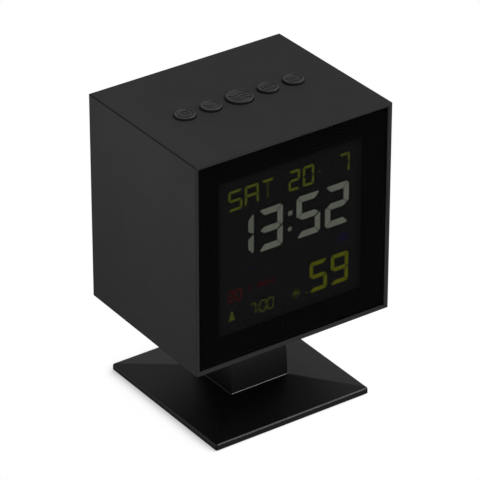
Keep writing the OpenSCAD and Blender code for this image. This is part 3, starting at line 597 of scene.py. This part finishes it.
def digit(character, left, low, width, height, stroke):
    """The lit bars of one character."""
    bars = segment_outlines(left, low, width, height, stroke)
    return [bars[name] for name in SEGMENTS[character]]


def block(left, low, width, height):
    """An upright rectangle."""
    return [(left, low), (left + width, low), (left + width, low + height), (left, low + height)]


def disc(x, z, radius):
    """A round dot."""
    return arc_path(x, z, radius, 0, 360, DISC_SIDES)[:-1]


def bell(x, low, width, height):
    """A bell outline: a narrow round crown over a skirt that flares to its foot."""
    half = width / 2
    crown = half * BELL_CROWN
    arc = arc_path(x, low + height - crown, crown, 0, 180, BELL_STEPS)
    waist = low + height * BELL_WAIST
    flare = crown * BELL_FLARE
    return arc + [(x - flare, waist), (x - half, low), (x + half, low), (x + flare, waist)]


def diamond(x, z, reach, stroke):
    """The four bars of a diamond frame, a little apart at its corners."""
    inner = reach - stroke
    gap = SEGMENT_GAP / 4
    corners = [(1, 0), (0, 1), (-1, 0), (0, -1)]
    bars = []
    for (ax, az), (bx, bz) in zip(corners, corners[1:] + corners[:1]):
        gap_x, gap_z = (bx - ax) * gap, (bz - az) * gap
        starts = [(x + ax * size + gap_x, z + az * size + gap_z) for size in (reach, inner)]
        ends = [(x + bx * size - gap_x, z + bz * size - gap_z) for size in (inner, reach)]
        bars.append(starts + ends)
    return bars


def leaves(x, z):
    """Two pointed leaves side by side."""
    leaf = [(0.2, 1.0), (1.0, 0.2), (0.8, -0.6), (0.2, -0.5)]
    return [[(x + side * px, z + pz) for px, pz in leaf] for side in (-1, 1)]


def show(name, outlines, material):
    """Lit plates on the display glass, just behind the lens."""
    mesh_data = bmesh.new()
    middle = Vector((display_centre.x, display_front - DISPLAY_LIFT, display_centre.z))
    for outline in outlines:
        spots = [middle + Vector((PICTURE_X + x, 0, PICTURE_Z + z)) * MM for x, z in soften(outline)]
        mesh_data.faces.new([mesh_data.verts.new(spot) for spot in spots])
    raise_faces(mesh_data, Vector((0, -DISPLAY_PLATE, 0)))
    piece(name, mesh_data, material, "clock")


TIME_ROW = {"low": -1.3, "width": 9.8, "height": 16.0, "stroke": 2.4}
DATE_ROW = {"low": 17.9, "width": 4.6, "height": 7.7, "stroke": 0.98}
LETTER_ROW = dict(DATE_ROW, width=5.6)
SECONDS_ROW = {"low": -24.35, "width": 7.3, "height": 11.75, "stroke": 1.57}
ALARM_ROW = {"low": -24.8, "width": 2.7, "height": 4.6, "stroke": 0.46}
RED_ROW = {"low": -16.8, "width": 2.6, "height": 4.3, "stroke": 0.42}


def row(characters, lefts, sizes):
    """The lit bars of characters of one size, each from its own left end."""
    outlines = []
    for character, left in zip(characters, lefts):
        outlines += digit(character, left, **sizes)
    return outlines


def light_display():
    """All that the display shows: time, date, seconds, alarm time and small signs."""
    white = lit_segment("segment_white", "#53564d")
    dim_white = lit_segment("segment_dim_white", "#4c4f46")
    yellow = lit_segment("segment_yellow", "#3b3f0e")
    bright_yellow = lit_segment("segment_bright_yellow", "#3f4206")
    dim_yellow = lit_segment("segment_dim_yellow", "#34370f")
    faint_yellow = lit_segment("segment_faint_yellow", "#26270b")
    red = lit_segment("segment_red", "#3e0508", dim=0.75)
    dim_red = lit_segment("segment_dim_red", "#290507", dim=0.7)
    faint_red = lit_segment("segment_faint_red", "#1f0608", dim=0.6)
    blue = lit_segment("segment_blue", "#0c0b20", dim=0.7)
    faint_blue = lit_segment("segment_faint_blue", "#101020", dim=0.8)

    colon = [block(-1.3, 8.8, 1.7, 1.7), disc(-0.6, 3.6, 0.83)]
    show("time_digits", row("352", (-13.35, 2.1, 14.0), TIME_ROW), white)
    show("time_dim_digit", digit("1", -25.2, **TIME_ROW) + colon, dim_white)

    t_bar = [(-12.0, 25.6), (-7.4, 25.6), (-8.1, 24.6), (-11.3, 24.6)]
    t_stem = [block(-10.1, 18.4, 0.8, 2.8), block(-10.1, 22.0, 0.8, 2.2)]
    weekday = row("SA", (-25.6, -19.0), LETTER_ROW) + [t_bar]
    show("date_characters", weekday + row("20", (-1.2, 4.6), DATE_ROW), yellow)
    show("date_faint_marks", t_stem + [disc(11.4, 21.9, 0.45)], faint_yellow)
    show("month_digit", digit("7", 19.4, **DATE_ROW), dim_yellow)

    show("seconds_digits", row("59", (7.8, 16.7), SECONDS_ROW), bright_yellow)

    alarm = row("700", (-17.0, -12.9, -9.8), ALARM_ROW)
    alarm += [block(-13.7, -21.9, 0.5, 0.6), block(-13.7, -23.6, 0.5, 0.6)]
    show("alarm_digits", alarm, dim_yellow)
    show("alarm_bell", [bell(-24.3, -24.1, 2.9, 3.6)], dim_yellow)
    show("sensor_frame", diamond(2.3, -22.4, 2.1, 0.5) + [disc(6.6, -23.6, 0.5)], faint_yellow)
    show("sensor_leaves", leaves(2.3, -22.4), dim_yellow)

    show("red_digits", row("20", (-25.9, -22.8), RED_ROW), red)
    show("red_dim_marks", [block(-17.6, -15.1, 0.75, 2.8), block(-13.7, -14.6, 3.7, 1.5)], dim_red)
    show("red_faint_bar", [block(-9.7, -14.6, 4.0, 1.5)], faint_red)
    show("blue_mark", [disc(21.5, -6.8, 1.7), block(23.5, -8.3, 0.5, 3.2)], blue)
    show("blue_faint_mark", [block(-17.6, -6.9, 3.2, 0.9)], faint_blue)


# Button marks, in millimetres from the middle of the button: x to the right, y away from the display


def wave_path(y, half, swing):
    """Points along a wave, with WAVE_TURNS of it from the middle to either side."""
    xs = [-half + 2 * half * i / WAVE_STEPS for i in range(WAVE_STEPS + 1)]
    return [(x, y + swing * math.sin(math.tau * x / half * WAVE_TURNS)) for x in xs]


def stroke_edges(path):
    """Pairs of points to the left and right of a path, MARK_WIDTH apart and mitred at its corners.

    A path that ends where it starts is mitred there too.
    """
    spots = [Vector(spot) for spot in path]
    steps = [(after - before).normalized() for before, after in zip(spots, spots[1:])]
    sides = [Vector((-step.y, step.x)) for step in steps]
    closed = (spots[0] - spots[-1]).length < MARK_CLOSED
    first, last = (sides[-1], sides[0]) if closed else (sides[0], sides[-1])
    pairs = []
    for spot, before, after in zip(spots, [first] + sides, sides + [last]):
        mitre = (before + after).normalized()
        reach = mitre * (MARK_WIDTH / 2 / mitre.dot(before))
        pairs.append((spot + reach, spot - reach))
    return pairs


BUTTON_MARKS = {
    "alarm": [arc_path(0, 0, 1.95, 90, 450), [(0, 1.2), (0, 0), (0.9, -0.45)]],
    "down": [[(-1.7, 1.3), (0, 0.1), (1.7, 1.3)], [(-1.7, -0.1), (0, -1.3), (1.7, -0.1)]],
    "snooze": [wave_path(y, 3.1, 0.42) for y in (-1.6, 0, 1.6)],
    "up": [
        [(-1.8, -1.5), (1.8, -1.5), (1.8, 1.5), (-1.8, 1.5), (-1.8, -1.5)],
        [(-0.9, 0.5), (0.9, 0.5)], [(-0.9, -0.5), (0.9, -0.5)],
    ],
    "mode": [[(-2.1, 1.3), (0.6, 1.3), (2.1, 0), (0.6, -1.3), (-2.1, -1.3)], [(-1.4, -0.2), (0.7, 0.2)]],
}


def emboss(key, material):
    """The raised mark in the dish of one button."""
    low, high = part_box(key + "_button")
    centre = (low + high) / 2
    floor = high.z - DISH_DEPTH - MARK_SINK
    mesh_data = bmesh.new()
    for path in BUTTON_MARKS[key]:
        edges = []
        for left, right in stroke_edges(path):
            spots = [(centre.x + p.x * MM, centre.y + p.y * MM, floor) for p in (left, right)]
            edges.append([mesh_data.verts.new(spot) for spot in spots])
        for (a, b), (c, d) in zip(edges, edges[1:]):
            mesh_data.faces.new((a, b, d, c))
    bmesh.ops.remove_doubles(mesh_data, verts=mesh_data.verts, dist=MARK_WELD)
    raise_faces(mesh_data, Vector((0, 0, MARK_HEIGHT + MARK_SINK)))
    piece(key + "_mark", mesh_data, material, key + "_key")


# Room


def seen_directly(tree):
    """1 for rays from the camera, from gloss and through glass, and 0 for light on the object."""
    path = tree.nodes.new("ShaderNodeLightPath")
    total = path.outputs["Is Camera Ray"]
    for name in ("Is Glossy Ray", "Is Transmission Ray"):
        higher = tree.nodes.new("ShaderNodeMath")
        higher.operation = "MAXIMUM"
        tree.links.new(total, higher.inputs[0])
        tree.links.new(path.outputs[name], higher.inputs[1])
        total = higher.outputs[0]
    return total


def make_sky():
    """White at the horizon, where it is seen, and dimmer higher up."""
    world = bpy.data.worlds.new("sky")
    bpy.context.scene.world = world
    world.use_nodes = True
    tree = world.node_tree
    direction = tree.nodes.new("ShaderNodeTexCoord").outputs["Generated"]
    height = tree.nodes.new("ShaderNodeSeparateXYZ")
    tree.links.new(direction, height.inputs[0])
    band = tree.nodes.new("ShaderNodeValToRGB")
    tree.links.new(height.outputs["Z"], band.inputs["Fac"])
    elements = band.color_ramp.elements
    while len(elements) < len(SKY_LEVELS):
        elements.new(1)
    for element, (rise, level) in zip(elements, SKY_LEVELS):
        element.position = rise
        element.color = (level, level, level, 1)
    tree.links.new(band.outputs["Color"], tree.nodes["Background"].inputs["Color"])


def make_lamp(name, spot, width, height, level, mirrored_in_gloss=True):
    """A softbox that faces the object, its surface level times as bright as white. In millimetres."""
    data = bpy.data.lights.new(name, "AREA")
    data.shape = "RECTANGLE"
    data.size = width * MM
    data.size_y = height * MM
    data.energy = WHITE_LAMP * level * data.size * data.size_y
    lamp = bpy.data.objects.new(name, data)
    bpy.context.scene.collection.objects.link(lamp)
    lamp.visible_camera = False
    lamp.visible_glossy = mirrored_in_gloss
    lamp.location = Vector(spot) * MM
    lamp.rotation_euler = (VIEW_TARGET - lamp.location).to_track_quat("-Z", "Y").to_euler()


def contact_shadow(tree):
    """White, and grey where something low stands close by on the side that the light comes from."""
    facing = tree.nodes.new("ShaderNodeCombineXYZ")
    for axis, value in zip("XYZ", SHADOW_FROM):
        facing.inputs[axis].default_value = value
    open_share = tree.nodes.new("ShaderNodeAmbientOcclusion")
    open_share.samples = SHADOW_SAMPLES
    open_share.inputs["Distance"].default_value = SHADOW_REACH
    tree.links.new(facing.outputs[0], open_share.inputs["Normal"])
    level = tree.nodes.new("ShaderNodeMapRange")
    level.interpolation_type = "SMOOTHSTEP"
    level.inputs["From Min"].default_value = SHADOW_CLOSED
    level.inputs["From Max"].default_value = SHADOW_OPEN
    level.inputs["To Min"].default_value = SHADOW_DEPTH
    level.inputs["To Max"].default_value = 1
    tree.links.new(open_share.outputs["AO"], level.inputs["Value"])
    return level.outputs["Result"]


def make_floor():
    """A level floor just under the part, white to the camera and grey as a source of light."""
    mesh_data = bmesh.new()
    bmesh.ops.create_grid(mesh_data, x_segments=FLOOR_CELLS, y_segments=FLOOR_CELLS, size=FLOOR_SIZE / 2)
    bmesh.ops.translate(mesh_data, verts=mesh_data.verts, vec=(0, 0, -FLOOR_DROP))
    mesh = bpy.data.meshes.new("floor")
    mesh_data.to_mesh(mesh)
    mesh_data.free()
    floor = bpy.data.objects.new("floor", mesh)
    bpy.context.scene.collection.objects.link(floor)

    material = bpy.data.materials.new("floor")
    material.use_nodes = True
    tree = material.node_tree
    tree.nodes.clear()
    diffuse = tree.nodes.new("ShaderNodeBsdfDiffuse")
    diffuse.inputs["Color"].default_value = linear(FLOOR_SHADE)
    white = tree.nodes.new("ShaderNodeEmission")
    tree.links.new(contact_shadow(tree), white.inputs["Strength"])
    mix = tree.nodes.new("ShaderNodeMixShader")
    tree.links.new(seen_directly(tree), mix.inputs["Fac"])
    tree.links.new(diffuse.outputs[0], mix.inputs[1])
    tree.links.new(white.outputs[0], mix.inputs[2])
    output = tree.nodes.new("ShaderNodeOutputMaterial")
    tree.links.new(mix.outputs[0], output.inputs["Surface"])
    floor.data.materials.append(material)


def make_camera():
    """The photograph's own view, from the left and above."""
    data = bpy.data.cameras.new("camera")
    data.lens = VIEW_LENS
    data.sensor_width = SENSOR_WIDTH
    data.clip_end = VIEW_END
    camera = bpy.data.objects.new("camera", data)
    bpy.context.scene.collection.objects.link(camera)
    level = math.cos(VIEW_ELEVATION)
    across, along = math.sin(VIEW_AZIMUTH) * level, math.cos(VIEW_AZIMUTH) * level
    away = Vector((-across, -along, math.sin(VIEW_ELEVATION)))
    camera.location = VIEW_TARGET + away * VIEW_DISTANCE
    camera.rotation_euler = (-away).to_track_quat("-Z", "Y").to_euler()
    bpy.context.scene.camera = camera


make_camera()
make_sky()
make_lamp("key_lamp", **KEY_LAMP)
make_lamp("front_lamp", **FRONT_LAMP)
make_lamp("side_lamp", mirrored_in_gloss=False, **SIDE_LAMP)
make_floor()
finishes = dress_solids()
light_display()
for key in BUTTON_MARKS:
    emboss(key, finishes["button_plastic"])

bpy.context.scene.view_settings.view_transform = "Standard"
